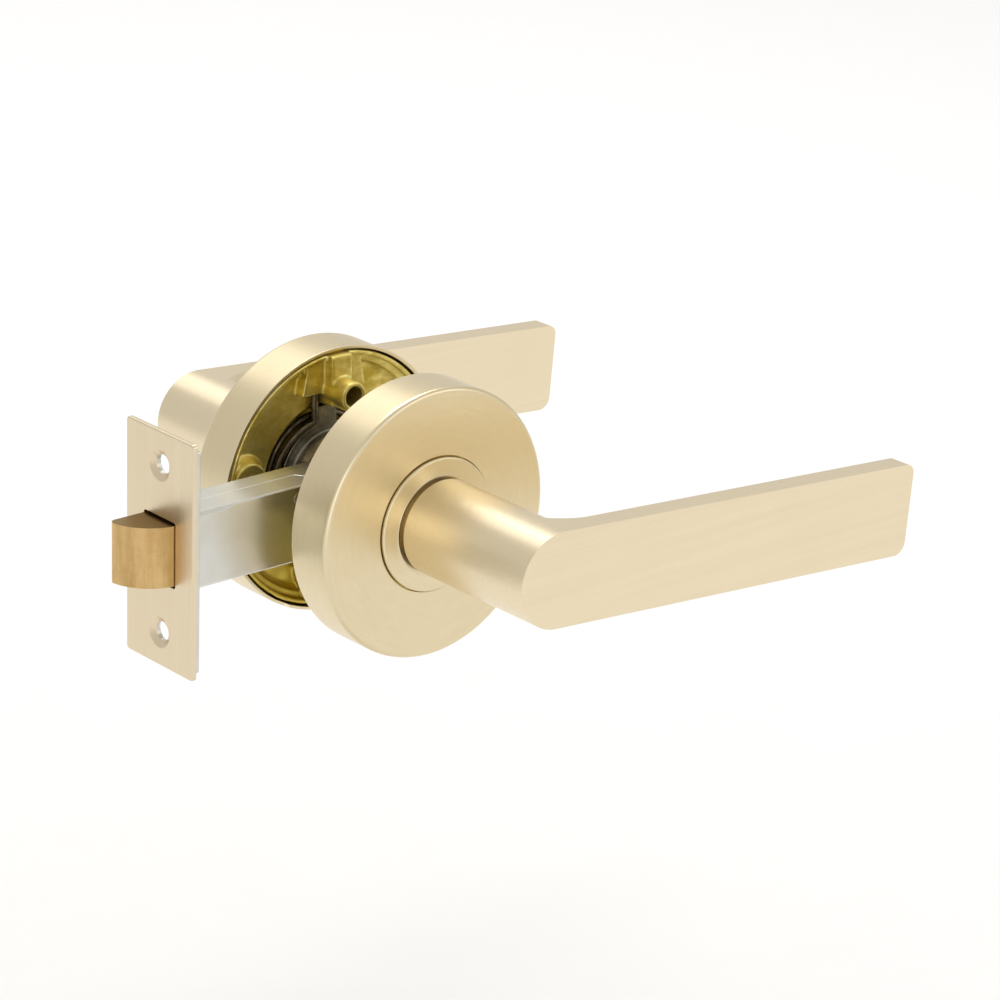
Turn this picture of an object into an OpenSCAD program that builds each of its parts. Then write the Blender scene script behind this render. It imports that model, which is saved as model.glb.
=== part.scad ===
// Lever handle lockset: a pair of sprung lever handles on round roses, one square spindle,
// and a tubular latch with a brass bolt.
// Frame: the origin is on the spindle's axis, midway between the two roses. +X runs along the
// levers, away from the latch's faceplate. -Y is outside the door, +Y is inside. +Z is up.

/* [Door] */
// Gap between the rims of the two roses, which is the door's thickness
door_gap = 25; // [24:0.5:50]
// Distance from the faceplate's outer face to the spindle's axis
backset = 61; // [58:0.5:80]

/* [Rose] */
// Outside diameter of each rose
rose_d = 65.8; // [64:0.2:78]
// Depth of each rose, from its rim to its flat face
rose_depth = 12.2; // [12.2:0.1:18]
// Sheet thickness of the rose cover
rose_wall = 0.8; // [0.6:0.1:1.2]
// Radius of the rose cover's outer edge
rose_edge_r = 1.2; // [0.9:0.1:2]
// Outside diameter of the bearing collar that shows in the rose's face
collar_d = 32.6; // [31:0.2:36]

/* [Lever] */
// Distance from the spindle's axis to the lever's tip
lever_reach = 114; // [80:1:150]
// Height of the grip, which is also the diameter of the neck
grip_h = 23.2; // [22.6:0.1:28]
// Thickness of the grip
grip_t = 5.8; // [4.5:0.1:9]
// Distance from the rose's flat face to the outer face of the grip
lever_stand = 43.4; // [38:0.5:60]
// Angle by which both levers hang below level at rest, in degrees
lever_droop = 4.2; // [0:0.1:8]
// Angle through which a lever is pressed down, in degrees
lever_turn = 60; // [50:1:65]

/* [Latch] */
// Height of the faceplate
plate_h = 57; // [55:1:75]
// Width of the faceplate
plate_w = 25.4; // [22:0.2:32]
// Distance between the faceplate's screw holes
screw_pitch = 40.6; // [38:0.2:44]
// Diameter of the faceplate's screw holes
screw_hole_d = 4.8; // [3.5:0.1:5.5]
// Height of the latch bolt
bolt_h = 14.6; // [12:0.1:15]
// Width of the latch bolt
bolt_w = 11.4; // [10:0.1:12]
// Distance that the bolt stands out of the faceplate
bolt_throw = 10; // [8:0.5:12]
// Sheet thickness of the latch case
case_wall = 0.7; // [0.5:0.1:0.9]

/* [Spindle] */
// Side of the square spindle
spindle_side = 7.6; // [7:0.1:8]

/* [Fixing] */
// Distance between the two screw posts of each chassis
post_pitch = 44.8; // [44:0.2:47]
// Diameter of the hole through a rear screw post
post_hole_d = 5; // [4:0.1:5.4]
// Length by which the screw posts stand past the rose's rim
post_stand = 6.6; // [0:0.1:9]

/* [Hidden] */
$fn = 96;

// Colours
brass = [0.86, 0.76, 0.55];
cast_brass = [0.66, 0.58, 0.28];
bolt_brass = [0.72, 0.56, 0.30];
steel = [0.74, 0.73, 0.70];
dark_steel = [0.24, 0.23, 0.21];

// Clearances
run_gap = 0.05;        // running fit of a shaft in its bore, on the radius
slide_gap = 0.2;       // bolt in its case, on each side
free_gap = 0.3;        // parts that pass without touching
eps = 0.5;             // how far a cut runs past the face it opens

// Trim: u is the distance outwards from the middle of the door
rim_u = door_gap / 2;
face_u = rim_u + rose_depth;
shelf_u = face_u - rose_wall;
rose_r = rose_d / 2;
collar_r = collar_d / 2;
collar_rise = 0.8;
collar_top_u = face_u + collar_rise;
collar_hub_rise = 0.4;
groove_w = 0.2;

// Bearing and lever shank
shank_r = 10;
bush_r = shank_r + 1.6;
neck_gap = 1.1;
neck_r = grip_h / 2;
neck_u = collar_top_u + collar_hub_rise + neck_gap;
grip_u = face_u + lever_stand;
neck_fillet_r = 5;
grip_edge_r = 1;
tip_top_r = 2.6;
tip_bottom_r = 3.4;

// Chassis
rim_recess = 0.2;
chassis_gap = 0.5;
chassis_r = rose_r - rose_wall - chassis_gap;
chassis_rim_t = 1.1;
ledge_w = 1.6;
ledge_drop = 2;
floor_u = shelf_u - 7.3;
floor_t = 2;
well_r = 18.2;
well_floor_t = 2;
well_u = shelf_u - well_floor_t;
hub_r = bush_r + 1;
post_r = 3.5;
post_z = post_pitch / 2;
rib_w = 6.1;
rib_u = rim_u - 1.8;
pad_half = 9.5;
pad_top_half = 7;
pad_rise = 3;
lobe_r = 6;
lobe_top_r = 4.4;
lobe_rise = 3.2;
lobe_z = 4;
snap_w = 5;

// Return spring, drive plate, washer and circlip
plate_u = floor_u - 0.6;
drive_t = 1.4;
drive_r = 13.6;
washer_t = 1;
washer_r = 11.7;
clip_t = 1.1;
clip_r = 11.3;
clip_groove_r = shank_r - 0.8;
flat_half = shank_r - 1.4;
clip_u = plate_u - washer_t - clip_t;
shank_end_u = clip_u - 1;
hub_end_u = plate_u + drive_t + 0.4;
wire_r = 0.8;
coil_r = drive_r + wire_r + 0.4;
leg_top_z = post_z - 1;
post_side = sqrt(max(0, post_r * post_r - pow(post_z - leg_top_z, 2)));
leg_x = max(rib_w / 2, post_side) + wire_r + 0.05;
tab_half = leg_x - wire_r - 0.6;
tab_r = well_r - 0.6;
lip_t = 1.4;

// Latch
plate_t = 1.2;
backing_t = 1;
plate_corner_r = 1;
csk_d = screw_hole_d + 2.8;
face_x = -backset;
case_x0 = face_x + plate_t;
case_x1 = 14;
case_half_y = bolt_w / 2 + slide_gap + case_wall;
case_half_z = bolt_h / 2 + 1.3 + case_wall;
case_step = 0.6;
case_bevel = 0.9;
step_x0 = face_x + 14;
step_x1 = step_x0 + 3;
seam_gap = 0.16;
seam_y0 = 0.35;
seam_y1 = -1.8;
jog_x = -22;
jog_l = 1.4;
tail_half_y = case_half_y - case_step;
window_half_y = bolt_w / 2 + 0.25;
window_half_z = bolt_h / 2 + 0.6;

// Bolt train
tip_x = face_x - bolt_throw;
head_x1 = face_x + 2.5;
bolt_x1 = face_x + 11;
neck_half_y = tail_half_y - case_wall - free_gap;
rod_r = 1.75;
arm_lean = lever_turn / 2;
arm_reach = bolt_throw / (2 * sin(arm_lean));
arm_tip_r = 1.4;
arm_half_y = 2.1;
journal_r = spindle_side * 0.5 * sqrt(2) + 0.8;
barrel_r = journal_r + 0.15;
barrel_half_y = tail_half_y - case_wall - 0.2;
fork_in = arm_half_y + 0.5;
fork_t = 1.2;
rail_z0 = barrel_r + free_gap;
rail_z1 = case_half_z - case_wall - free_gap;
horn_x0 = -arm_reach * sin(arm_lean) + arm_tip_r + free_gap;
horn_t = 2.2;
horn_top = arm_reach + arm_tip_r - 0.6;
horn_z = (arm_tip_r / cos(arm_lean) - horn_x0) / tan(arm_lean) + 0.3;
fork_plate_t = 1.8;
fork_x0 = -(arm_reach + arm_tip_r + bolt_throw + fork_plate_t + free_gap);
fork_x1 = horn_x0 + horn_t + 4;
slot_half_y = fork_in + fork_t + free_gap;
slot_x0 = -arm_reach * cos(asin((case_half_z - case_wall - arm_tip_r) / arm_reach)) - arm_tip_r - 0.4;
guide_x1 = fork_x0 - 0.5;
guide_x0 = guide_x1 - 3.5;
rivet_x = (guide_x0 + guide_x1) / 2;
spring_wire_r = 0.45;
bolt_spring_r = 3.4;
bolt_spring_turns = 7;
rivet_r = 1.4;
rivet_z = case_half_z - case_wall - rivet_r - 0.9;
tail_rivet_x = case_x1 - 2.8;

// Spindle
spindle_half = neck_u + 9;
socket_u = spindle_half + 1;
socket_side = spindle_side + 2 * run_gap;
grub_u = neck_u + 5.5;
grub_r = 2.4;

// Puts a front or a rear piece on its side of the door
module on_side(side) {
    if (side < 0) {
        mirror([0, 1, 0])
            children();
    } else {
        children();
    }
}

// Turns a profile of [radius, u] points about the spindle's axis
module turned() {
    rotate([-90, 0, 0])
        rotate_extrude()
            children();
}

// A round bar or hole along the spindle's axis, from u0 to u1, at (x, z)
module along_y(r, u0, u1, x = 0, z = 0) {
    translate([x, u0, z])
        rotate([-90, 0, 0])
            cylinder(r = r, h = u1 - u0);
}

// An outline drawn in X and Z, made solid from u0 to u1
module slab_y(u0, u1) {
    translate([0, u1, 0])
        rotate([90, 0, 0])
            linear_extrude(u1 - u0)
                children();
}

// An outline drawn in Y and Z, made solid from x0 to x1
module slab_x(x0, x1) {
    translate([x0, 0, 0])
        rotate([90, 0, 90])
            linear_extrude(x1 - x0)
                children();
}

// A box between two corners
module block(low, high) {
    translate(low)
        cube(high - low);
}

// Points of an arc about (cx, cy)
function arc(cx, cy, r, a0, a1, n = 12) =
    [for (i = [0 : n]) let (a = a0 + (a1 - a0) * i / n) [cx + r * cos(a), cy + r * sin(a)]];

// A closed tube of n-sided rings along a path
module tube(path, r, n = 8) {
    count = len(path);
    ahead = [for (i = [0 : count - 1]) path[min(i + 1, count - 1)] - path[max(i - 1, 0)]];
    rings = [for (i = [0 : count - 1])
        let (
            t = ahead[i] / norm(ahead[i]),
            helper = abs(t[1]) < 0.9 ? [0, 1, 0] : [1, 0, 0],
            side = cross(t, helper) / norm(cross(t, helper)),
            up = cross(t, side)
        )
        for (k = [0 : n - 1])
            path[i] + r * (cos(360 * k / n) * side + sin(360 * k / n) * up)];
    walls = [for (i = [0 : count - 2])
        for (k = [0 : n - 1])
            let (
                a = i * n + k,
                b = i * n + (k + 1) % n
            )
            for (face = [[a, b, b + n], [a, b + n, a + n]])
                face];
    start = [for (k = [0 : n - 1]) n - 1 - k];
    finish = [for (k = [0 : n - 1]) (count - 1) * n + k];
    polyhedron(rings, concat(walls, [start, finish]), convexity = 6);
}

// Faceplate outline with round corners, drawn in Y and Z
module plate_outline(w, h, r) {
    y = w / 2 - r;
    z = h / 2 - r;
    polygon(concat(
        arc(y, z, r, 0, 90),
        arc(-y, z, r, 90, 180),
        arc(-y, -z, r, 180, 270),
        arc(y, -z, r, 270, 360)));
}

// A short bar or hole along X at (y, z)
module along_x(r, x0, x1, y = 0, z = 0) {
    translate([x0, y, z])
        rotate([0, 90, 0])
            cylinder(r = r, h = x1 - x0);
}

// ---- Latch ----

module faceplate() {
    color(brass)
        difference() {
            slab_x(face_x, case_x0)
                plate_outline(plate_w, plate_h, plate_corner_r);
            block([face_x - eps, -window_half_y, -window_half_z],
                [case_x0 + eps, window_half_y, window_half_z]);
            for (z = [-1, 1] * screw_pitch / 2) {
                along_x(screw_hole_d / 2, face_x - eps, case_x0 + eps, 0, z);
                translate([face_x - 0.01, 0, z])
                    rotate([0, 90, 0])
                        cylinder(r1 = csk_d / 2, r2 = screw_hole_d / 2, h = plate_t * 0.75);
            }
        }
}

module backing_plate() {
    backing_h = plate_h - 3;
    backing_w = plate_w - 0.6;
    color(steel)
        difference() {
            slab_x(case_x0, case_x0 + backing_t)
                plate_outline(backing_w, backing_h, plate_corner_r);
            slab_x(case_x0 - eps, case_x0 + backing_t + eps)
                case_section(case_half_y + 0.02, case_half_z + 0.02, case_bevel);
            for (z = [-1, 1] * screw_pitch / 2)
                along_x(screw_hole_d / 2, case_x0 - eps, case_x0 + backing_t + eps, 0, z);
        }
}

// Section of the case across its length, with its long edges bevelled
module case_section(half_y, half_z, bevel) {
    polygon([
        [half_y, -half_z + bevel], [half_y, half_z - bevel],
        [half_y - bevel, half_z], [-half_y + bevel, half_z],
        [-half_y, half_z - bevel], [-half_y, -half_z + bevel],
        [-half_y + bevel, -half_z], [half_y - bevel, -half_z]]);
}

// Plan of the case, stepped in behind the bolt
module case_plan(half_y, x0, x1) {
    polygon([
        [x0, -half_y], [step_x0, -half_y], [step_x1, -half_y + case_step],
        [x1, -half_y + case_step], [x1, half_y - case_step], [step_x1, half_y - case_step],
        [step_x0, half_y], [x0, half_y]]);
}

// Both halves of the case as one open tube
module case_tube() {
    difference() {
        intersection() {
            translate([0, 0, -case_half_z - eps])
                linear_extrude(2 * (case_half_z + eps))
                    case_plan(case_half_y, case_x0, case_x1);
            slab_x(case_x0, case_x1)
                case_section(case_half_y, case_half_z, case_bevel);
        }
        translate([0, 0, -case_half_z + case_wall])
            linear_extrude(2 * (case_half_z - case_wall))
                case_plan(case_half_y - case_wall, case_x0 - eps, case_x1 + eps);
        along_y(journal_r + run_gap, -case_half_y - eps, case_half_y + eps);
        block([slot_x0, -slot_half_y, -case_half_z - eps],
            [case_x1 + eps, slot_half_y, case_half_z + eps]);
        for (z = [-1, 1] * rivet_z)
            along_y(rivet_r, -case_half_y - eps, case_half_y + eps, rivet_x, z);
        along_y(rivet_r, -case_half_y - eps, case_half_y + eps, tail_rivet_x);
    }
}

// Plan of the space on the front side of the seam; dy shifts the seam
module seam_plan(side, dy) {
    edge = side * (case_half_y + 2);
    polygon([
        [case_x0 - eps, edge], [case_x0 - eps, seam_y0 + dy], [jog_x, seam_y0 + dy],
        [jog_x + jog_l, seam_y1 + dy], [case_x1 + eps, seam_y1 + dy], [case_x1 + eps, edge]]);
}

module case_half(side) {
    color(steel)
        intersection() {
            case_tube();
            translate([0, 0, -case_half_z - eps])
                linear_extrude(2 * (case_half_z + eps))
                    seam_plan(side, side * seam_gap / 2);
        }
}

module case_front() {
    case_half(-1);
}

module case_rear() {
    case_half(1);
}

// Rivets across the case, peened flush with its sides
module case_rivets() {
    color(steel) {
        for (z = [-1, 1] * rivet_z)
            along_y(rivet_r, -tail_half_y, tail_half_y, rivet_x, z);
        along_y(rivet_r, -tail_half_y, tail_half_y, tail_rivet_x);
    }
}

module guide_block() {
    half_y = tail_half_y - case_wall;
    half_z = case_half_z - case_wall;
    color(steel)
        difference() {
            block([guide_x0, -half_y, -half_z], [guide_x1, half_y, half_z]);
            along_x(rod_r + run_gap, guide_x0 - eps, guide_x1 + eps);
            for (z = [-1, 1] * rivet_z)
                along_y(rivet_r, -half_y - eps, half_y + eps, rivet_x, z);
        }
}

// Plan of the bolt's head: flat on the inside, one curved bevel on the outside
module bolt_plan() {
    half = bolt_w / 2;
    nose_r = 1.6;
    nose_a = 180 + asin(nose_r / (bolt_w - nose_r));
    nose_x = tip_x + bolt_w + (bolt_w - nose_r) * cos(nose_a);
    polygon(concat(
        [[head_x1, -half], [head_x1, half]],
        arc(nose_x, half - nose_r, nose_r, 90, nose_a, 8),
        arc(tip_x + bolt_w, half, bolt_w, nose_a, 270, 24)));
}

module latch_bolt() {
    half_z = bolt_h / 2;
    pocket_l = 6;
    color(bolt_brass)
        difference() {
            union() {
                translate([0, 0, -half_z])
                    linear_extrude(bolt_h)
                        bolt_plan();
                block([head_x1, -neck_half_y, -half_z], [bolt_x1, neck_half_y, half_z]);
            }
            along_x(rod_r, bolt_x1 - pocket_l, bolt_x1 + eps);
            along_y(1, -neck_half_y - eps, neck_half_y + eps, bolt_x1 - pocket_l / 2);
        }
}

module draw_rod() {
    color(steel)
        difference() {
            along_x(rod_r, bolt_x1 - 6, fork_x0);
            along_y(1, -rod_r - eps, rod_r + eps, bolt_x1 - 3);
        }
}

module rod_pin() {
    color(steel)
        along_y(1, -neck_half_y, neck_half_y, bolt_x1 - 3);
}

module bolt_spring() {
    pitch = (guide_x0 - bolt_x1 - 2 * spring_wire_r - 0.2) / bolt_spring_turns;
    steps = 16;
    x0 = bolt_x1 + spring_wire_r + 0.1;
    path = [for (i = [0 : steps * bolt_spring_turns])
        let (a = 360 * i / steps)
        [x0 + pitch * i / steps, bolt_spring_r * cos(a), bolt_spring_r * sin(a)]];
    color(steel)
        tube(path, spring_wire_r, 6);
}

// Fork that the follower's arms push: a front plate, four rails and two horns
module retractor() {
    out = fork_in + fork_t;
    color(steel) {
        block([fork_x0, -out, -rail_z1], [fork_x0 + fork_plate_t, out, rail_z1]);
        for (over = [0, 1])
            mirror([0, 0, over]) {
                for (across = [0, 1])
                    mirror([0, across, 0]) {
                        block([fork_x0, fork_in, rail_z0], [fork_x1, out, rail_z1]);
                        block([horn_x0, fork_in, rail_z0], [horn_x0 + horn_t, out, horn_top]);
                    }
                block([horn_x0, -out, horn_z], [horn_x0 + horn_t, out, horn_top]);
            }
    }
}

// One arm of the follower, a round-ended finger that leans back by arm_lean
module follower_arm(sz) {
    lean = [-sin(arm_lean), sz * cos(arm_lean)];
    side = [lean[1], -lean[0]];
    root = 3 * lean;
    tip = arm_reach * lean;
    slab_y(-arm_half_y, arm_half_y)
        union() {
            polygon([root + arm_tip_r * side, tip + arm_tip_r * side, tip - arm_tip_r * side,
                root - arm_tip_r * side]);
            translate(tip)
                circle(r = arm_tip_r);
        }
}

module follower() {
    color(cast_brass)
        difference() {
            union() {
                along_y(journal_r, -tail_half_y, tail_half_y);
                along_y(barrel_r, -barrel_half_y, barrel_half_y);
                for (sz = [-1, 1])
                    follower_arm(sz);
            }
            block([-socket_side / 2, -tail_half_y - eps, -socket_side / 2],
                [socket_side / 2, tail_half_y + eps, socket_side / 2]);
        }
}

module spindle() {
    half = spindle_side / 2;
    color(steel)
        block([-half, -spindle_half, -half], [half, spindle_half, half]);
}

// ---- Trim, drawn for the rear side ----

module rose_cover() {
    inner_r = rose_r - rose_wall;
    hole_r = collar_r + groove_w;
    notch_a = 241;
    color(brass)
        difference() {
            turned()
                polygon(concat(
                    [[hole_r, shelf_u], [inner_r, shelf_u], [inner_r, rim_u], [rose_r, rim_u]],
                    arc(rose_r - rose_edge_r, face_u - rose_edge_r, rose_edge_r, 0, 90, 8),
                    [[hole_r, face_u]]));
            rotate([0, -notch_a, 0])
                block([inner_r - eps, rim_u - eps, -2], [rose_r + eps, rim_u + 0.9, 2]);
        }
}

module collar() {
    color(brass)
        turned()
            polygon(concat(
                [[shank_r + run_gap, hub_end_u], [bush_r, hub_end_u], [bush_r, shelf_u]],
                [[collar_r, shelf_u]],
                arc(collar_r - 0.5, collar_top_u - 0.5, 0.5, 0, 90, 4),
                [[neck_r + 1.2, collar_top_u + 0.1], [neck_r + 0.2, collar_top_u + collar_hub_rise],
                 [shank_r + run_gap, collar_top_u + collar_hub_rise]]));
}

// Section of the chassis, before its posts, ribs and lobes
module chassis_profile() {
    ledge_r = chassis_r - chassis_rim_t;
    dish_r = ledge_r - ledge_w;
    top_u = rim_u + rim_recess;
    polygon([
        [bush_r, hub_end_u], [hub_r, hub_end_u], [hub_r, well_u], [well_r, well_u],
        [well_r, floor_u], [dish_r - 1.2, floor_u], [dish_r, floor_u - 1.2],
        [dish_r, top_u + ledge_drop], [ledge_r, top_u + ledge_drop], [ledge_r, top_u],
        [chassis_r, top_u], [chassis_r, floor_u + floor_t], [well_r + 1.6, floor_u + floor_t],
        [well_r + 1.6, shelf_u], [bush_r, shelf_u]]);
}

// Raised casting round one screw post: a rib out to the rim, a pad that narrows towards the
// rim, and the post itself
module post_casting() {
    rib_reach = chassis_r - 0.15;
    pad_reach = chassis_r - chassis_rim_t + 0.2;
    along_y(post_r, rim_u - post_stand, shelf_u, 0, post_z);
    intersection() {
        block([-rib_w / 2, rib_u, post_z - post_r], [rib_w / 2, floor_u + floor_t, rose_r]);
        along_y(rib_reach, rib_u - eps, shelf_u);
    }
    intersection() {
        slab_y(floor_u - pad_rise, floor_u + eps)
            polygon([[-pad_half, post_z - 0.6], [pad_half, post_z - 0.6],
                [pad_top_half, rose_r], [-pad_top_half, rose_r]]);
        along_y(pad_reach, rib_u, shelf_u);
    }
}

// Round lug with sloping sides, cast against the rim wall beside the latch
module chassis_lobe() {
    reach = chassis_r - chassis_rim_t + 0.1;
    intersection() {
        translate([-reach + lobe_r, floor_u + eps, lobe_z])
            rotate([90, 0, 0])
                cylinder(r1 = lobe_r, r2 = lobe_top_r, h = lobe_rise + eps);
        along_y(reach, floor_u - lobe_rise - eps, floor_u + 2 * eps);
    }
}

module chassis(hole_r) {
    ejector_r = 2;
    color(cast_brass)
        difference() {
            union() {
                turned()
                    chassis_profile();
                for (turn = [0, 180]) {
                    rotate([0, turn, 0])
                        post_casting();
                    mirror([turn / 180, 0, 0])
                        chassis_lobe();
                }
                for (turn = [30, 150, 270])
                    rotate([0, turn, 0])
                        intersection() {
                            block([chassis_r - 1, rim_u + rim_recess + 1, -snap_w / 2],
                                [rose_r, rim_u + rim_recess + 3, snap_w / 2]);
                            along_y(rose_r - rose_wall, rim_u, shelf_u);
                        }
            }
            for (turn = [0, 180])
                rotate([0, turn, 0]) {
                    along_y(hole_r, rim_u - post_stand - eps, shelf_u + eps, 0, post_z);
                    block([rib_w / 2, floor_u - eps, well_r - 1.5],
                        [leg_x + wire_r + 0.3, well_u, leg_top_z + 0.6]);
                }
            for (a = [27, 153, 207, 333])
                rotate([0, -a, 0])
                    translate([well_r, 0, 0])
                        difference() {
                            along_y(ejector_r, floor_u - eps, floor_u + 0.2);
                            along_y(ejector_r - 0.25, floor_u - 1, floor_u + 1);
                        }
        }
}

// Torsion spring: a short coil round the chassis hub and a straight leg from each end
module return_spring() {
    a_leg = acos(leg_x / coil_r);
    turns = 2;
    sweep = 360 * turns - 2 * (90 - a_leg);
    steps = 44;
    deep_u = well_u - wire_r - 0.15;
    shallow_u = deep_u - turns * (2 * wire_r + 0.1);
    front_u = floor_u - wire_r - 0.1;
    coil = [for (i = [0 : steps])
        let (
            k = i / steps,
            a = a_leg - sweep * k,
            rise = k < 0.88 ? 0 : (k - 0.88) / 0.12
        )
        [coil_r * cos(a), deep_u + (shallow_u - deep_u) * k + (front_u - shallow_u) * rise,
            coil_r * sin(a)]];
    last = coil[steps];
    first_leg = [[leg_x, deep_u, leg_top_z], [leg_x, deep_u, coil_r + 2.2]];
    last_leg = [[-leg_x, front_u, coil_r + 1.6], [-leg_x, front_u, leg_top_z]];
    color(dark_steel)
        tube(concat(first_leg, coil, last_leg), wire_r, 8);
}

// Disc that turns with the lever's shank; its bent tab sits between the spring's legs
module drive_plate() {
    color(dark_steel)
        difference() {
            union() {
                along_y(drive_r, plate_u, plate_u + drive_t);
                block([-tab_half, plate_u, drive_r - 1.5], [tab_half, plate_u + drive_t, tab_r]);
                block([-tab_half, plate_u, tab_r - lip_t], [tab_half, well_u - free_gap, tab_r]);
            }
            intersection() {
                along_y(shank_r + 0.02, plate_u - eps, plate_u + drive_t + eps);
                block([-flat_half - 0.02, plate_u - eps, -shank_r - 1],
                    [flat_half + 0.02, plate_u + drive_t + eps, shank_r + 1]);
            }
        }
}

module washer() {
    color(steel)
        difference() {
            along_y(washer_r, plate_u - washer_t, plate_u);
            along_y(shank_r + 0.1, plate_u - washer_t - eps, plate_u + eps);
        }
}

// Retaining ring in the shank's groove, open at the bottom, with two eyes
module circlip() {
    eye_r = 1.3;
    eye_x = 2.6;
    eye_z = -clip_r + 0.5;
    color(dark_steel)
        slab_y(clip_u, clip_u + clip_t)
            difference() {
                union() {
                    circle(r = clip_r);
                    for (sx = [-1, 1])
                        translate([sx * eye_x, eye_z])
                            circle(r = eye_r);
                }
                circle(r = clip_groove_r);
                translate([-1, -clip_r - 3])
                    square([2, clip_r]);
                for (sx = [-1, 1])
                    translate([sx * eye_x, eye_z])
                        circle(r = 0.6);
            }
}

// Outline of the grip in X and Z, before it hangs by lever_droop
module grip_outline(inset) {
    r = neck_r - inset;
    tip = lever_reach - inset;
    circle(r = r);
    polygon(concat(
        [[0, r], [0, -r]],
        arc(tip - tip_bottom_r, -r + tip_bottom_r, tip_bottom_r, 270, 360),
        arc(tip - tip_top_r, r - tip_top_r, tip_top_r, 0, 90)));
}

// The grip: full outline through its thickness, with a narrow bevel on both edges
module grip() {
    back_u = grip_u - grip_t;
    bevel = grip_edge_r / 2;
    slab_y(back_u + bevel, grip_u - bevel)
        grip_outline(0);
    slab_y(back_u, back_u + bevel)
        grip_outline(bevel);
    slab_y(grip_u - bevel, grip_u)
        grip_outline(bevel);
}

// Concave fillet where the neck runs into the back of the grip, on the grip's side only
module neck_fillet() {
    back_u = grip_u - grip_t;
    intersection() {
        turned()
            polygon(concat(
                [[neck_r - 3, back_u - neck_fillet_r]],
                arc(neck_r + neck_fillet_r, back_u - neck_fillet_r, neck_fillet_r, 180, 90),
                [[neck_r + neck_fillet_r, back_u + 0.5], [neck_r - 3, back_u + 0.5]]));
        block([0, back_u - neck_fillet_r - 1, -neck_r + 0.04],
            [neck_r + neck_fillet_r + 1, grip_u - 1, neck_r - 0.04]);
    }
}

module lever() {
    socket_half = socket_side / 2;
    color(brass)
        difference() {
            union() {
                rotate([0, lever_droop, 0]) {
                    grip();
                    neck_fillet();
                    along_y(neck_r, neck_u, grip_u - grip_t + grip_edge_r / 2);
                }
                along_y(shank_r, hub_end_u - 0.4, neck_u);
                intersection() {
                    along_y(shank_r, shank_end_u, hub_end_u - 0.4);
                    block([-flat_half, shank_end_u, -shank_r], [flat_half, hub_end_u, shank_r]);
                }
            }
            block([-socket_half, shank_end_u - eps, -socket_half],
                [socket_half, socket_u, socket_half]);
            difference() {
                along_y(shank_r + 1, clip_u, clip_u + clip_t);
                along_y(clip_groove_r, clip_u - 1, clip_u + clip_t + 1);
            }
            translate([0, grub_u, 0])
                rotate([180, 0, 0])
                    cylinder(r = grub_r, h = neck_r + 1);
        }
}

// Set screw that pinches the spindle, let into the underside of the neck
module grub_screw() {
    top = socket_side / 2 + 0.3;
    length = 6;
    hex_across = 2.5;
    color(dark_steel)
        translate([0, grub_u, 0])
            rotate([180, 0, 0])
                translate([0, 0, top])
                    difference() {
                        cylinder(r = grub_r, h = length);
                        translate([0, 0, length - 2.4])
                            cylinder(d = hex_across / cos(30), h = 3, $fn = 6);
                    }
}

module front_rose() { on_side(-1) rose_cover(); }
module front_collar() { on_side(-1) collar(); }
module front_chassis() { on_side(-1) chassis(post_hole_d / 2 - 0.4); }
module front_return_spring() { on_side(-1) return_spring(); }
module front_lever() { on_side(-1) lever(); }
module front_grub_screw() { on_side(-1) grub_screw(); }
module front_drive_plate() { on_side(-1) drive_plate(); }
module front_washer() { on_side(-1) washer(); }
module front_circlip() { on_side(-1) circlip(); }
module rear_rose() { on_side(1) rose_cover(); }
module rear_collar() { on_side(1) collar(); }
module rear_chassis() { on_side(1) chassis(post_hole_d / 2); }
module rear_return_spring() { on_side(1) return_spring(); }
module rear_lever() { on_side(1) lever(); }
module rear_grub_screw() { on_side(1) grub_screw(); }
module rear_drive_plate() { on_side(1) drive_plate(); }
module rear_washer() { on_side(1) washer(); }
module rear_circlip() { on_side(1) circlip(); }

faceplate();
backing_plate();
case_front();
case_rear();
case_rivets();
guide_block();
latch_bolt();
draw_rod();
rod_pin();
bolt_spring();
retractor();
follower();
spindle();
front_rose();
front_collar();
front_chassis();
front_return_spring();
front_lever();
front_grub_screw();
front_drive_plate();
front_washer();
front_circlip();
rear_rose();
rear_collar();
rear_chassis();
rear_return_spring();
rear_lever();
rear_grub_screw();
rear_drive_plate();
rear_washer();
rear_circlip();
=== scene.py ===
"""Lever handle lockset: two sprung levers on round roses, one square spindle, a tubular latch."""

import math

import bmesh
import bpy
from mathutils import Matrix, Vector


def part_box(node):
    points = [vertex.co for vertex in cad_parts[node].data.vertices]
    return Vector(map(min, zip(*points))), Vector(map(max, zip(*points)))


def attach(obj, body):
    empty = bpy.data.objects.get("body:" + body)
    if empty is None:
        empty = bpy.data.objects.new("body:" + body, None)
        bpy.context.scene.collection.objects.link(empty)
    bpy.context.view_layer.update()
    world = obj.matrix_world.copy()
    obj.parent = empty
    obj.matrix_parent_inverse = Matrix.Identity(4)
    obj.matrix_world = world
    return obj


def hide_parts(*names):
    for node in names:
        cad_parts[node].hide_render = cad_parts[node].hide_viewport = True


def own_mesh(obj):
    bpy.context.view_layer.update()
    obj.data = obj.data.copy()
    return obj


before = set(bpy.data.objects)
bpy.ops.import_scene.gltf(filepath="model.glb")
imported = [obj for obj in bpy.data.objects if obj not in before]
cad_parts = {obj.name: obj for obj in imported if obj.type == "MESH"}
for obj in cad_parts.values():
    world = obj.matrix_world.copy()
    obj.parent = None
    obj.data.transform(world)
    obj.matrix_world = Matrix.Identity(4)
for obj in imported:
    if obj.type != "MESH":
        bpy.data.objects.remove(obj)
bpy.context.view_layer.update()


# ---- Latch faceplate ----
# A brass plate, pressed with soft edges and brushed along its length, let into the door's edge.
# Two countersunk wood screws hold it, and the bolt slides through the window punched in it.

MM = 0.001


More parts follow.
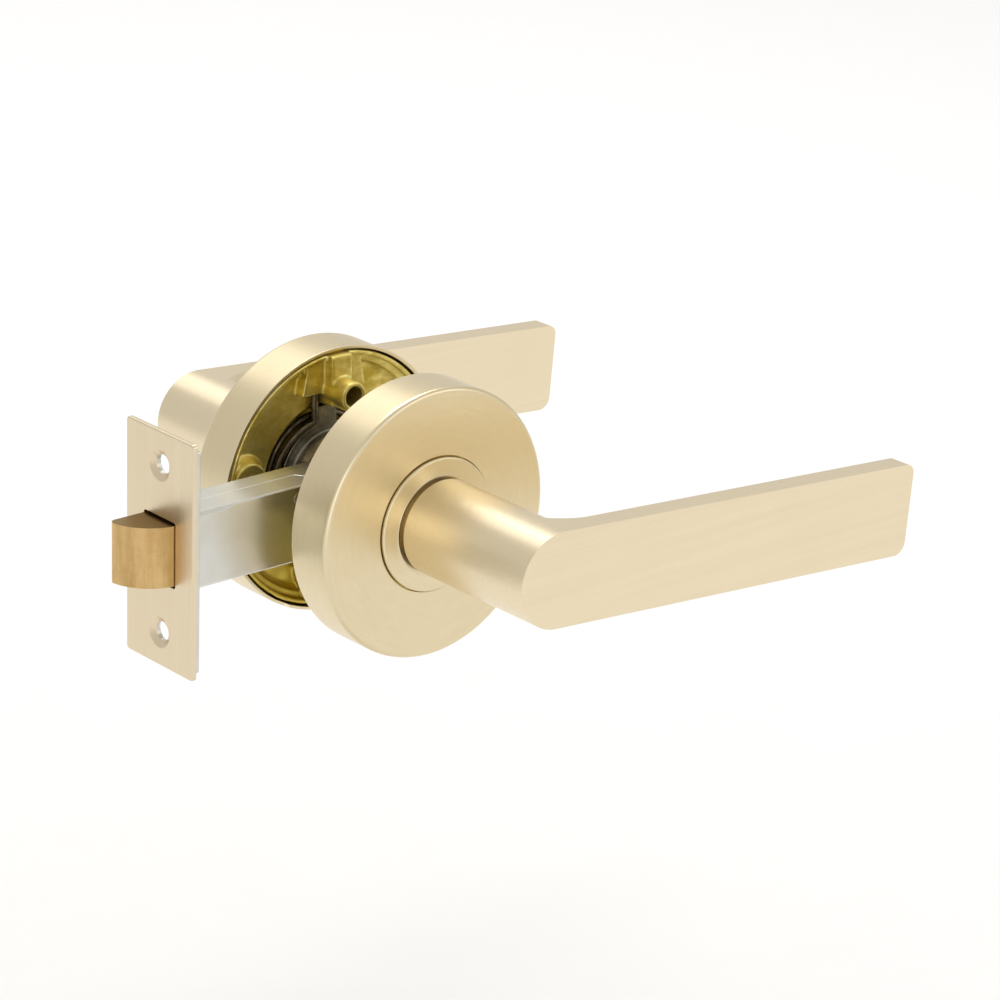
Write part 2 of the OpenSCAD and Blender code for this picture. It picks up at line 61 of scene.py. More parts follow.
class Wire:
    """An output of a node in a finish, so that shader maths reads as ordinary sums."""

    def __init__(self, finish, socket):
        self.finish = finish
        self.socket = socket

    def maths(self, operation, first, second=0.0):
        return self.finish.node("ShaderNodeMath", {"operation": operation}, {0: first, 1: second})

    def __add__(self, other):
        return self.maths("ADD", self, other)

    __radd__ = __add__

    def __mul__(self, other):
        return self.maths("MULTIPLY", self, other)

    __rmul__ = __mul__

    def __truediv__(self, other):
        return self.maths("DIVIDE", self, other)

    def __rtruediv__(self, other):
        return self.maths("DIVIDE", other, self)


class Finish:
    """A metal finish: a material whose nodes are added one call at a time."""

    def __init__(self, name):
        self.material = bpy.data.materials.new(name)
        self.material.use_nodes = True
        self.tree = self.material.node_tree
        self.tree.nodes.clear()

    def node(self, kind, settings=None, inputs=None, out=0):
        made = self.tree.nodes.new(kind)
        for key, value in (settings or {}).items():
            setattr(made, key, value)
        for key, value in (inputs or {}).items():
            if isinstance(value, Wire):
                self.tree.links.new(value.socket, made.inputs[key])
            else:
                made.inputs[key].default_value = value
        return Wire(self, made.outputs[out]) if made.outputs else None

    def place(self):
        """Where a point is on its own piece, in metres."""
        return self.node("ShaderNodeTexCoord", out="Object")

    def spread(self, place, stretch):
        return self.node("ShaderNodeVectorMath", {"operation": "MULTIPLY"}, {0: place, 1: stretch})

    def noise(self, place, scale=1.0, detail=3.0, rough=0.55):
        return self.node("ShaderNodeTexNoise", None, {
            "Vector": place, "Scale": scale, "Detail": detail, "Roughness": rough})

    def band(self, value, low, high, to_low=0.0, to_high=1.0):
        """Eases from to_low to to_high as value goes from low to high."""
        return self.node("ShaderNodeMapRange", {"interpolation_type": "SMOOTHSTEP"}, {
            "Value": value, "From Min": low, "From Max": high, "To Min": to_low, "To Max": to_high})

    def tint(self, amount, base, other):
        """Mixes two colours, each of them a colour or the output of a node."""
        one, two = (c if isinstance(c, Wire) else (*c, 1.0) for c in (base, other))
        return self.node("ShaderNodeMix", {"data_type": "RGBA"}, {0: amount, 6: one, 7: two}, out=2)

    def metal(self, colour, roughness, height, depth, **constant):
        """Joins a colour, a roughness and a surface height, depth metres deep, into the metal."""
        normal = self.node("ShaderNodeBump", None, {
            "Height": height, "Distance": depth, "Strength": 1.0})
        inputs = {"Base Color": colour, "Roughness": roughness, "Metallic": 1.0, "Normal": normal}
        for key, value in constant.items():
            inputs[key.replace("_", " ").title()] = value
        surface = self.node("ShaderNodeBsdfPrincipled", None, inputs)
        self.node("ShaderNodeOutputMaterial", None, {"Surface": surface})
        return self.material


BRASS = (0.850, 0.735, 0.525)
BRASS_DEEP = (0.810, 0.680, 0.460)


def satin_brass(name, stretch, anisotropic=0.0, tone_and_shade=(1.0, 1.0, 1.0)):
    """Lacquered satin brass, brushed along the direction that stretch leaves long.

    The last argument scales both colours: a yellower, slightly darker tone of their own for the turned
    covers, and painted shade for the faceplate's darker copy."""
    brass = Finish(name)
    if stretch == "turned":
        parts = {axis: brass.node("ShaderNodeSeparateXYZ", None, {0: brass.place()}, out=axis)
                 for axis in "XYZ"}
        radius = brass.node("ShaderNodeVectorMath", {"operation": "LENGTH"}, {
            0: brass.spread(brass.place(), (1.0, 1.0, 0.0))}, out="Value")
        fine = (radius + parts["Z"]) * 5200.0
        broad = (radius + parts["Z"]) * 900.0
        east = parts["X"] / radius
        north = parts["Y"] / radius
        line_place = brass.node("ShaderNodeCombineXYZ", None, {0: fine, 1: east * 5.0, 2: north * 5.0})
        streak_place = brass.node("ShaderNodeCombineXYZ", None, {
            0: broad, 1: east * 3.0, 2: north * 3.0})
    else:
        line_place = brass.spread(brass.place(), tuple(5200.0 * s for s in stretch))
        streak_place = brass.spread(brass.place(), tuple(900.0 * s for s in stretch))
    lines = brass.noise(line_place, detail=2.0)
    streaks = brass.noise(streak_place, detail=3.0)
    cloud = brass.noise(brass.place(), scale=45.0, detail=2.0)
    shade = brass.band(streaks * 0.6 + cloud * 0.4, 0.35, 0.70, 0.0, 0.45)
    roughness = brass.band(streaks * 0.5 + lines * 0.5, 0.30, 0.70, 0.27, 0.37)
    bright, deep = (tuple(c * b for c, b in zip(colour, tone_and_shade)) for colour in (BRASS, BRASS_DEEP))
    return brass.metal(brass.tint(shade, bright, deep), roughness, lines + streaks * 0.5,
                       0.0000022, anisotropic=anisotropic)


def rounded_oblong(half_y, half_z, radius, steps=6):
    """Outline of an oblong with round corners, as (y, z) points."""
    points = []
    for corner, (sy, sz) in enumerate(((1, 1), (-1, 1), (-1, -1), (1, -1))):
        for step in range(steps + 1):
            angle = math.radians(90.0 * (corner + step / steps))
            points.append((sy * (half_y - radius) + radius * math.cos(angle),
                           sz * (half_z - radius) + radius * math.sin(angle)))
    return points


def ring(y, z, radius, steps=48):
    return [(y + radius * math.cos(2 * math.pi * k / steps),
             z + radius * math.sin(2 * math.pi * k / steps)) for k in range(steps)]


def add_loop(shape, points):
    """Adds a closed loop of points, and gives its vertices."""
    return [shape.verts.new(point) for point in points]


def skin(shape, loops):
    """Walls between each loop of vertices and the next."""
    for one, two in zip(loops, loops[1:]):
        for k in range(len(one)):
            shape.faces.new((one[k - 1], one[k], two[k], two[k - 1]))


def flat_face(shape, loops):
    """One flat face whose outline is the first loop, with the others as holes in it."""
    edges = []
    for loop in loops:
        for k in range(len(loop)):
            edge = shape.edges.get((loop[k - 1], loop[k]))
            edges.append(edge or shape.edges.new((loop[k - 1], loop[k])))
    bmesh.ops.triangle_fill(shape, edges=edges, use_beauty=True, use_dissolve=False)


def piece(name, shape, material, body, nodes=(), sharp=35.0, turn=None, smooth_flats=True):
    """Makes an object of a shape, finishes it, hides the parts it stands for and hangs it on the body
    it rides on.
    """
    bmesh.ops.recalc_face_normals(shape, faces=shape.faces)
    mesh = bpy.data.meshes.new(name)
    shape.to_mesh(mesh)
    shape.free()
    for face in mesh.polygons:
        face.use_smooth = True
    mesh.set_sharp_from_angle(angle=math.radians(sharp))
    made = bpy.data.objects.new(name, mesh)
    bpy.context.scene.collection.objects.link(made)
    mesh.materials.append(material)
    if turn is not None:
        made.matrix_world = turn
    if smooth_flats:
        weighted = made.modifiers.new("flats", "WEIGHTED_NORMAL")
        weighted.keep_sharp = True
    if nodes:
        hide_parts(*nodes)
    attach(made, body)
    return made


def faceplate():
    """The plate: an outer wall with rolled edges, the window, two countersinks, two faces.

    sink_wall is a countersink's wall as (depth, radius) pairs, from the front face to the back."""
    low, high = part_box("faceplate")
    front, back = low.x, high.x
    half_y, half_z = high.y, high.z
    corner, roll, punch, bare_edge = 1.0 * MM, 0.4 * MM, 0.2 * MM, 0.1 * MM
    window_y, window_z, window_corner = 5.95 * MM, 7.9 * MM, 0.6 * MM
    hole, sink, sink_depth, pitch = 2.4 * MM, 3.8 * MM, 0.9 * MM, 20.3 * MM
    shape = bmesh.new()
    outer = []
    for step in range(6):
        angle = math.radians(90.0 * step / 5)
        inset = roll * (1 - math.sin(angle))
        outer.append(add_loop(shape, [
            (front + roll * (1 - math.cos(angle)), y, z)
            for y, z in rounded_oblong(half_y - inset, half_z - inset, corner - inset)]))
    outer.append(add_loop(shape, [(back - bare_edge, y, z)
                                  for y, z in rounded_oblong(half_y, half_z, corner)]))
    outer.append(add_loop(shape, [(back, y, z) for y, z in rounded_oblong(
        half_y - bare_edge, half_z - bare_edge, corner - bare_edge)]))
    window = []
    for step in range(5):
        angle = math.radians(90.0 * step / 4)
        grow = punch * (1 - math.sin(angle))
        window.append(add_loop(shape, [
            (front + punch * (1 - math.cos(angle)), y, z)
            for y, z in rounded_oblong(window_y + grow, window_z + grow, window_corner + grow, 4)]))
    window.append(add_loop(shape, [(back, y, z) for y, z in rounded_oblong(
        window_y, window_z, window_corner, 4)]))
    sink_wall = ((front, sink + 0.12 * MM), (front + 0.03 * MM, sink),
                 (front + sink_depth, hole + 0.05 * MM), (front + sink_depth + 0.06 * MM, hole),
                 (back, hole))
    holes = [[add_loop(shape, [(x, y, z) for y, z in ring(0.0, middle, radius)])
              for x, radius in sink_wall] for middle in (-pitch, pitch)]
    for loops in [outer, window] + holes:
        skin(shape, loops)
    flat_face(shape, [loops[0] for loops in [outer, window] + holes])
    flat_face(shape, [loops[-1] for loops in [outer, window] + holes])
    return shape


# The faceplate's brass is a darker copy of the same finish: painted shade.
plate_brass = satin_brass("satin_brass_plate", (0.5, 1.0, 0.012), tone_and_shade=(0.93, 0.92, 0.93))
piece("faceplate_pressed", faceplate(), plate_brass, "latch_and_roses",
      ["faceplate"])


# ---- Backing plate and latch case ----
# The backing plate and the two half shells of the case are pressed from nickel-plated steel.
# The shells meet in a seam along the top and bottom, and three rivets hold them together.

def softened(node, name, radius, material, body, segments=3):
    """A fine copy of a part's own shape, its flats joined up and its edges rounded over.

    An edge that bends by less than crease degrees is a step of a curve, and isn't rounded."""
    crease = 30.0
    shape = bmesh.new()
    shape.from_mesh(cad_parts[node].data)
    bmesh.ops.remove_doubles(shape, verts=shape.verts, dist=0.001 * MM)
    bmesh.ops.dissolve_limit(shape, angle_limit=math.radians(0.4), verts=shape.verts,
                             edges=shape.edges, use_dissolve_boundaries=False)
    made = piece(name, shape, material, body, [node], smooth_flats=False)
    rounding = made.modifiers.new("rounding", "BEVEL")
    rounding.width = radius
    rounding.segments = segments
    rounding.limit_method = "ANGLE"
    rounding.angle_limit = math.radians(crease)
    rounding.harden_normals = False
    rounding.miter_outer = "MITER_ARC"
    weighted = made.modifiers.new("flats", "WEIGHTED_NORMAL")
    weighted.keep_sharp = True
    return made


def plated_steel(name, base, deep, rough):
    """Rolled steel under bright plating: faint drawing lines, and smears where it was handled."""
    steel = Finish(name)
    lines = steel.noise(steel.spread(steel.place(), (84.0, 4200.0, 4200.0)), detail=2.0)
    smear = steel.noise(steel.place(), scale=220.0, detail=4.0)
    cloud = steel.noise(steel.place(), scale=60.0, detail=2.0)
    shade = steel.band(smear * 0.5 + cloud * 0.5, 0.38, 0.66, 0.0, 0.8)
    roughness = steel.band(cloud, 0.35, 0.70, rough, rough + 0.08)
    return steel.metal(steel.tint(shade, base, deep), roughness, lines, 0.0000014)


case_steel = plated_steel("nickel_plate", (0.70, 0.695, 0.650), (0.65, 0.64, 0.585), 0.30)
softened("backing_plate", "backing_plate_pressed", 0.22 * MM, case_steel, "latch_and_roses")
for half in ("front", "rear"):
    softened(f"case_{half}", f"case_{half}_pressed", 0.3 * MM, case_steel, "latch_and_roses")
softened("case_rivets", "case_rivets_peened", 0.25 * MM, case_steel, "latch_and_roses")


# ---- Latch bolt ----
# A sintered brass block with one flat side and one curved bevel, worn smooth on its nose.
# It is pinned to the draw rod behind it, and slides in the case's mouth.

def bare_brass():
    """Unlacquered brass: a fine grain, rubbed in vertical streaks on the sides, with painted shade
    that darkens its top and bottom faces.
    """
    brass = Finish("bolt_brass")
    grain = brass.noise(brass.place(), scale=3000.0, detail=3.0, rough=0.7)
    blotch = brass.noise(brass.place(), scale=330.0, detail=4.0, rough=0.62)
    rubbed = brass.noise(brass.spread(brass.place(), (420.0, 420.0, 45.0)), detail=3.0)
    shade = brass.band(rubbed * 0.55 + blotch * 0.25 + grain * 0.2, 0.36, 0.64)
    colour = brass.tint(shade, (0.700, 0.480, 0.215), (0.545, 0.345, 0.135))
    # Painted shade: the more a face looks up or down, the more it takes the dark brown below.
    shade_facing = brass.node("ShaderNodeSeparateXYZ", None, {
        0: brass.node("ShaderNodeTexCoord", out="Normal")}, out="Z")
    colour = brass.tint(brass.band(shade_facing * shade_facing, 0.5, 0.9), colour, (0.300, 0.195, 0.070))
    roughness = brass.band(grain, 0.3, 0.7, 0.30, 0.42)
    return brass.metal(colour, roughness, grain + blotch * 0.5 + rubbed * 0.5, 0.000007)


softened("latch_bolt", "latch_bolt_sintered", 0.35 * MM, bare_brass(), "bolt_train",
         segments=4)


# ---- Draw rod, spring, retractor and follower ----
# The follower's arms pull the fork, the fork pulls the rod and bolt, and the spring returns them.
# Plain steel wire and pressings, with a cast follower; all of it runs inside the case.

bright_steel = plated_steel("bright_steel", (0.56, 0.55, 0.53), (0.42, 0.41, 0.39), 0.28)
for node, radius, body in (
        ("guide_block", 0.2, "latch_and_roses"), ("draw_rod", 0.15, "bolt_train"),
        ("rod_pin", 0.1, "bolt_train"), ("retractor", 0.18, "bolt_train"),
        ("spindle", 0.35, "spindle_and_follower")):
    softened(node, f"{node}_turned", radius * MM, bright_steel, body)


def cast_brass(name, base, deep):
    """Die-cast brass alloy: a pebbled skin, flow marks, and painted shade that darkens it towards the
    bottom.
    """
    cast = Finish(name)
    pebble = cast.noise(cast.place(), scale=1500.0, detail=4.0, rough=0.6)
    flow = cast.noise(cast.spread(cast.place(), (1.0, 1.0, 1.7)), scale=260.0, detail=4.0, rough=0.6)
    cloud = cast.noise(cast.place(), scale=75.0, detail=3.0)
    shade = cast.band(flow * 0.5 + cloud * 0.5, 0.36, 0.64)
    # Painted shade: between these two heights the casting fades down to its deep colour.
    height = cast.node("ShaderNodeSeparateXYZ", None, {0: cast.place()}, out="Z")
    shaded_below, unshaded_above = -26.0 * MM, 0.0
    skin_and_shade_colour = cast.tint(cast.band(height, shaded_below, unshaded_above), deep,
                            cast.tint(shade, base, deep))
    roughness = cast.band(flow, 0.3, 0.7, 0.36, 0.52)
    return cast.metal(skin_and_shade_colour, roughness, pebble * 0.3 + flow, 0.00006)


# The deep colour serves both the flow marks and the painted shade towards the bottom.
casting = cast_brass("cast_brass", (0.880, 0.750, 0.270), (0.560, 0.420, 0.070))
softened("follower", "follower_cast", 0.25 * MM, casting, "spindle_and_follower")


def tube(path, radius, sides=12):
    """A round wire swept along a path of points.

    Its domed ends are rings given as (place along the wire, size), both in wire radii."""
    shape = bmesh.new()
    up = Vector((0.0, 1.0, 0.0))
    loops = []
    start_dome, end_dome = ((-0.175, 0.35), (0.0275, 0.8)), ((0.26, 0.8), (0.62, 0.35))
    rings = []
    ahead = (path[1] - path[0]).normalized()
    for along, scale in start_dome:
        rings.append((path[0] + ahead * radius * along, ahead, scale))
    for k, point in enumerate(path):
        ahead = (path[min(k + 1, len(path) - 1)] - path[max(k - 1, 0)]).normalized()
        rings.append((point, ahead, 1.0))
    ahead = (path[-1] - path[-2]).normalized()
    for along, scale in end_dome:
        rings.append((path[-1] + ahead * radius * along, ahead, scale))
    for point, ahead, scale in rings:
        side = ahead.cross(up)
        if side.length < 0.05:
            side = ahead.cross(Vector((1.0, 0.0, 0.0)))
        side.normalize()
        over = ahead.cross(side)
        loops.append(add_loop(shape, [
            point + radius * scale * (math.cos(a) * side + math.sin(a) * over)
            for a in (2 * math.pi * k / sides for k in range(sides))]))
    skin(shape, loops)
    flat_face(shape, [loops[0]])
    flat_face(shape, [loops[-1]])
    return shape


def latch_coil():
    """The bolt's own spring: a helix between the bolt and the guide block."""
    low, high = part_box("bolt_spring")
    wire = 0.45 * MM
    turns, steps = 7, 24
    coil_r = high.z - wire
    run = high.x - low.x - 2 * wire
    return tube([Vector((low.x + wire + run * k / (turns * steps),
                         coil_r * math.cos(2 * math.pi * k / steps),
                         coil_r * math.sin(2 * math.pi * k / steps)))
                 for k in range(turns * steps + 1)], wire)


bolt_coil = piece("bolt_spring_wound", latch_coil(), bright_steel, "latch_and_roses",
                  ["bolt_spring"])
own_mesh(bolt_coil)


# ---- Rose castings ----
# Each rose is built on a die-cast brass ring with two screw posts, ribs out to its rim, a round
# lobe on each side and a well for the spring. The cover snaps over three lugs on it.

def cast_copy(node, name, grain_size):
    """The casting's shape with every edge run soft, as it comes out of the die."""
    shape = bmesh.new()
    shape.from_mesh(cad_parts[node].data)
    bmesh.ops.remove_doubles(shape, verts=shape.verts, dist=0.001 * MM)
    mesh = bpy.data.meshes.new(name)
    shape.to_mesh(mesh)
    shape.free()
    rough = bpy.data.objects.new(name, mesh)
    bpy.context.scene.collection.objects.link(rough)
    remesh = rough.modifiers.new("die", "REMESH")
    remesh.mode = "VOXEL"
    remesh.voxel_size = grain_size
    even = rough.modifiers.new("flow", "SMOOTH")
    even.factor = 0.5
    even.iterations = 4
    ready = rough.evaluated_get(bpy.context.evaluated_depsgraph_get())
    shape = bmesh.new()
    shape.from_mesh(ready.to_mesh())
    bpy.data.objects.remove(rough)
    return piece(name, shape, casting, "latch_and_roses", [node], sharp=60.0,
                 smooth_flats=False)


for side in ("front", "rear"):
    cast_copy(f"{side}_chassis", f"{side}_chassis_cast", (0.36) * MM)


# ---- Drive plates, washers, retaining rings and grub screws ----
# Pressed and hardened steel, oiled black. They lock the lever's shank to its return spring and
# keep it in the bearing; the grub screw pinches the spindle.

def black_steel(name, base, deep, rough):
    """Hardened steel, blackened in oil, with thinner patches where the oil ran off."""
    steel = Finish(name)
    smear = steel.noise(steel.place(), scale=420.0, detail=4.0)
    fine = steel.noise(steel.place(), scale=3200.0, detail=2.0)
    shade = steel.band(smear, 0.35, 0.68)
    roughness = steel.band(smear, 0.3, 0.7, rough, rough + 0.2)
    return steel.metal(steel.tint(shade, base, deep), roughness, fine + smear, 0.000006)


dark_steel = black_steel("black_steel", (0.270, 0.250, 0.200), (0.170, 0.152, 0.115), 0.26)
for side in ("front", "rear"):
    for part, radius in (("drive_plate", 0.25), ("circlip", 0.15), ("grub_screw", 0.12)):
        softened(f"{side}_{part}", f"{side}_{part}_pressed", radius * MM, dark_steel,
                 f"{side}_handle")
    softened(f"{side}_washer", f"{side}_washer_pressed", 0.15 * MM, bright_steel,
             f"{side}_handle")


# ---- Return springs ----
# A short coil of black spring wire round the bearing, with a straight leg from each end. One leg
# bears on the casting and the other on the drive plate's tab, and they bring the lever back up.

def return_spring(facing):
    """The coil and its two legs; facing is 1 for the inside trim and -1 for the outside trim."""
    low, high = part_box("rear_return_spring")
    wire, coil_r, leg_x, turns, steps = 0.8 * MM, 14.8 * MM, 4.2 * MM, 2, 96
    turn_gap, last_lift = 0.1 * MM, 0.88
    long_leg, short_leg = coil_r + 2.2 * MM, coil_r + 1.6 * MM
    leg_angle = math.acos(leg_x / coil_r)
    sweep = 2 * math.pi * turns - 2 * (math.pi / 2 - leg_angle)
    deep, front = high.y - wire, low.y + wire
    shallow = deep - turns * (2 * wire + turn_gap)
    top = high.z
    path = [Vector((leg_x, deep, top - (top - long_leg) * k / 3)) for k in range(4)]
    for k in range(steps + 1):
        share = k / steps
        angle = leg_angle - sweep * share
        rise = max(0.0, (share - last_lift) / (1.0 - last_lift))
        path.append(Vector((coil_r * math.cos(angle),
                            deep + (shallow - deep) * share + (front - shallow) * rise,
                            coil_r * math.sin(angle))))
    path += [Vector((-leg_x, front, short_leg + (top - short_leg) * k / 3)) for k in range(4)]
    return tube([Vector((p.x, facing * p.y, p.z)) for p in path], wire)


spring_steel = black_steel("spring_steel", (0.190, 0.155, 0.105), (0.110, 0.088, 0.060), 0.36)
for side, facing in (("front", -1), ("rear", 1)):
    piece(f"{side}_return_spring_wound", return_spring(facing), spring_steel, "latch_and_roses",
          [f"{side}_return_spring"])


# ---- Rose covers and bearing collars ----
# The cover is drawn from brass sheet and turned on a lathe, so its satin lines run in rings. The
# collar pressed into its middle carries the lever's shank and stands a little proud.

turned_brass = satin_brass("satin_brass_turned", "turned", 0.35, tone_and_shade=(0.925, 0.92, 0.86))
FACING = {"front": Matrix.Rotation(math.radians(90.0), 4, "X"),
          "rear": Matrix.Rotation(math.radians(-90.0), 4, "X")}
NOTCH_ANGLE = {"front": 241.0, "rear": 119.0}


def quarter(radius, height, size, start, steps=8):
    """Points of a quarter turn of size about (radius, height), from start degrees."""
    return [(radius + size * math.cos(math.radians(start + 90.0 * k / steps)),
             height + size * math.sin(math.radians(start + 90.0 * k / steps)))
            for k in range(steps + 1)]


def lathe(profile, steps=192):
    """A closed ring turned from a profile of (radius, height) points, about the Z axis."""
    shape = bmesh.new()
    loops = [add_loop(shape, [(r * math.cos(2 * math.pi * k / steps),
                               r * math.sin(2 * math.pi * k / steps), h) for k in range(steps)])
             for r, h in profile]
    skin(shape, loops + [loops[0]])
    return shape


def rose_cover(notch_angle):
    """The drawn cover, with a shallow notch in its rim where a driver can lift it off."""
    low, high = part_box("rear_rose")
    rim, face, radius = low.y, high.y, high.x
    wall, edge, bend, lip, burr = 0.8 * MM, 1.2 * MM, 0.5 * MM, 0.25 * MM, 0.18 * MM
    notch_half, notch_depth = 2.2 * MM, 0.9 * MM
    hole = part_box("rear_collar")[1].x + 0.2 * MM
    inner = radius - wall
    cover = lathe(
        quarter(inner + burr, rim + burr, burr, 180.0, 4)
        + quarter(radius - burr, rim + burr, burr, 270.0, 4)
        + quarter(radius - edge, face - edge, edge, 0.0, 12)
        + quarter(hole + lip, face - lip, lip, 90.0, 5)
        + [(hole, face - wall)]
        + quarter(inner - bend, face - wall - bend, bend, 90.0, 5)[::-1])
    middle = Vector((math.cos(math.radians(notch_angle)), math.sin(math.radians(notch_angle))))
    for vert in cover.verts:
        if vert.co.z < rim + 3 * burr and vert.co.xy.angle(middle) * radius < notch_half:
            vert.co.z += notch_depth
    return cover


def bearing_collar():
    """The collar: a bush behind, a flange with a round edge, and a raised ring at the neck."""
    low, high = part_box("rear_collar")
    cover_wall = 0.8 * MM
    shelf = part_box("rear_rose")[1].y - cover_wall
    hub_end, top, radius = low.y, high.y, high.x
    bore, bush, neck, edge = 10.05 * MM, 11.6 * MM, 12.2 * MM, 0.45 * MM
    face = top - 0.4 * MM
    neck_foot = [(neck + 1.0 * MM, face + 0.1 * MM), (neck + 0.1 * MM, top - 0.12 * MM)]
    return lathe([(bore, hub_end), (bush, hub_end), (bush, shelf), (radius, shelf)]
                 + quarter(radius - edge, face - edge, edge, 0.0, 6)
                 + neck_foot + [(neck, top), (bore, top)])


for side in ("front", "rear"):
    piece(f"{side}_rose_drawn", rose_cover(NOTCH_ANGLE[side]), turned_brass, "latch_and_roses",
          [f"{side}_rose"], turn=FACING[side])
    piece(f"{side}_collar_turned", bearing_collar(), turned_brass, "latch_and_roses",
          [f"{side}_collar"], turn=FACING[side])


# ---- Levers ----
# Neck and grip are one brass casting, milled flat, linished along the grip and lacquered. Behind
# the neck a turned shank runs in the collar, with flats for the drive plate and a square socket.

LEFT_STEPS, TIP_STEPS = 48, 40
DROOP = math.radians(4.2)


def section(u, half, right):
    """A loop at depth u: a half circle on the left, then the points given for the right."""
    left = [(half * math.cos(a), half * math.sin(a))
            for a in (math.radians(90.0 + 180.0 * k / LEFT_STEPS) for k in range(LEFT_STEPS + 1))]
    return [(x, u, z) for x, z in left + right]


def bulge(half, radius):
    """Right side of a section whose round is of the given radius, cut level above and below."""
    kink = math.sqrt(max(radius * radius - half * half, 0.0))
    lean = math.asin(min(1.0, half / radius))
    return ([(kink, -half)]
            + [(radius * math.cos(a), radius * math.sin(a))
               for a in (-lean + 2 * lean * k / TIP_STEPS for k in range(1, TIP_STEPS))]
            + [(kink, half)])


def grip_end(half, tip, low_r, high_r):
    """Right side of the grip's outline: two round corners and the straight tip between them."""
    corner = 14
    straight = TIP_STEPS - 2 * corner
    points = [(tip - low_r + low_r * math.cos(a), -half + low_r + low_r * math.sin(a))
              for a in (math.radians(-90.0 + 90.0 * k / corner) for k in range(corner + 1))]
    low, high = -half + low_r, half - high_r
    points += [(tip, low + (high - low) * k / straight) for k in range(1, straight)]
    points += [(tip - high_r + high_r * math.cos(a), high + high_r * math.sin(a))
               for a in (math.radians(90.0 * k / corner) for k in range(corner + 1))]
    return points


def shank_loop(u, radius, flat, square=None):
    """A loop of the shank at depth u: round with two flats, or the square socket within it."""
    points = []
    for x, _, z in section(u, 1.0, bulge(1.0, 1.0)):
        if square is None:
            points.append((max(-flat, min(flat, x * radius)), u, z * radius))
        else:
            reach = square / max(abs(x), abs(z))
            points.append((x * reach, u, z * reach))
    return points


def soften_edges(shape, neck):
    """Marks how round each edge is: most on the grip and neck, least on the shank's flats."""
    grip_edge, neck_edge, shank_edge = 0.6, 0.18, 0.1
    flat_bend, full_bend = 14.0, 40.0
    weight = shape.edges.layers.float.new("bevel_weight_edge")
    for edge in shape.edges:
        if len(edge.link_faces) == 2:
            bend = math.degrees(edge.calc_face_angle(0.0))
            depth = (edge.verts[0].co.y + edge.verts[1].co.y) / 2
            size = (grip_edge if depth > neck + 5 * MM
                    else neck_edge if depth > neck - 0.1 * MM else shank_edge)
            edge[weight] = size * max(0.0, min(1.0, (bend - flat_bend) / (full_bend - flat_bend)))


def lever(facing):
    """A lever; facing is 1 for the inside trim and -1 for the outside trim.

    Its loops run from the bottom of the square socket, out over the shank and up to the grip."""
    low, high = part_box("rear_lever")
    grip_face, shank_end = high.y, low.y
    half, thick, fillet, fillet_steps = 11.6 * MM, 5.8 * MM, 5.0 * MM, 12
    tip, low_r, high_r = 114.0 * MM, 3.4 * MM, 2.6 * MM
    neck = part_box("rear_collar")[1].y + 1.1 * MM
    flats_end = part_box("rear_collar")[0].y - 0.4 * MM
    back = grip_face - thick
    shank, flat, groove = 10.0 * MM, 8.6 * MM, 9.2 * MM
    clip_low, clip_high = (corner.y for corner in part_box("rear_circlip"))
    socket, socket_end = 3.85 * MM, 37.0 * MM
    shape = bmesh.new()
    straight = [shank_loop(socket_end, 0, 0, socket), shank_loop(shank_end, 0, 0, socket),
                shank_loop(shank_end, shank, flat), shank_loop(clip_low, shank, flat),
                shank_loop(clip_low, groove, flat), shank_loop(clip_high, groove, flat),
                shank_loop(clip_high, shank, flat), shank_loop(flats_end, shank, flat),
                shank_loop(flats_end, shank, shank), shank_loop(neck, shank, shank)]
    hanging = [section(neck, half, bulge(half, half))]
    for step in range(fillet_steps + 1):
        angle = math.radians(90.0 * step / fillet_steps)
        hanging.append(section(back - fillet + fillet * math.sin(angle), half,
                               bulge(half, half + fillet * (1 - math.cos(angle)))))
    end = grip_end(half, tip, low_r, high_r)
    hanging += [section(back, half, end), section(grip_face, half, end)]
    turned = Matrix.Rotation(DROOP, 4, "Y")
    loops = [add_loop(shape, loop) for loop in straight]
    loops += [add_loop(shape, [turned @ Vector(point) for point in loop]) for loop in hanging]
    skin(shape, loops)
    flat_face(shape, [loops[0]])
    shape.faces.new(loops[-1])
    bmesh.ops.remove_doubles(shape, verts=shape.verts, dist=0.0005 * MM)
    bmesh.ops.dissolve_degenerate(shape, edges=shape.edges, dist=0.0001 * MM)
    bmesh.ops.recalc_face_normals(shape, faces=shape.faces)
    soften_edges(shape, neck)
    if facing < 0:
        bmesh.ops.scale(shape, vec=(1.0, -1.0, 1.0), verts=shape.verts)
        bmesh.ops.reverse_faces(shape, faces=shape.faces)
    return shape


grip_brass = satin_brass("satin_brass_linished", (0.012, 1.0, 1.0))
for side, facing in (("front", -1), ("rear", 1)):
    made = piece(f"{side}_lever_cast", lever(facing), grip_brass, f"{side}_handle",
                 [f"{side}_lever"], sharp=40.0, smooth_flats=False)
    rounding = made.modifiers.new("rounding", "BEVEL")
    rounding.width = 1.0 * MM
    rounding.segments = 5
    rounding.limit_method = "WEIGHT"
    weighted = made.modifiers.new("flats", "WEIGHTED_NORMAL")
    weighted.keep_sharp = True


# ---- Stand, lights and camera ----
# The lockset hangs over a plain pale floor, in a soft studio: a pale tent all round, with broad
# soft lights in front, above, behind and to the left.

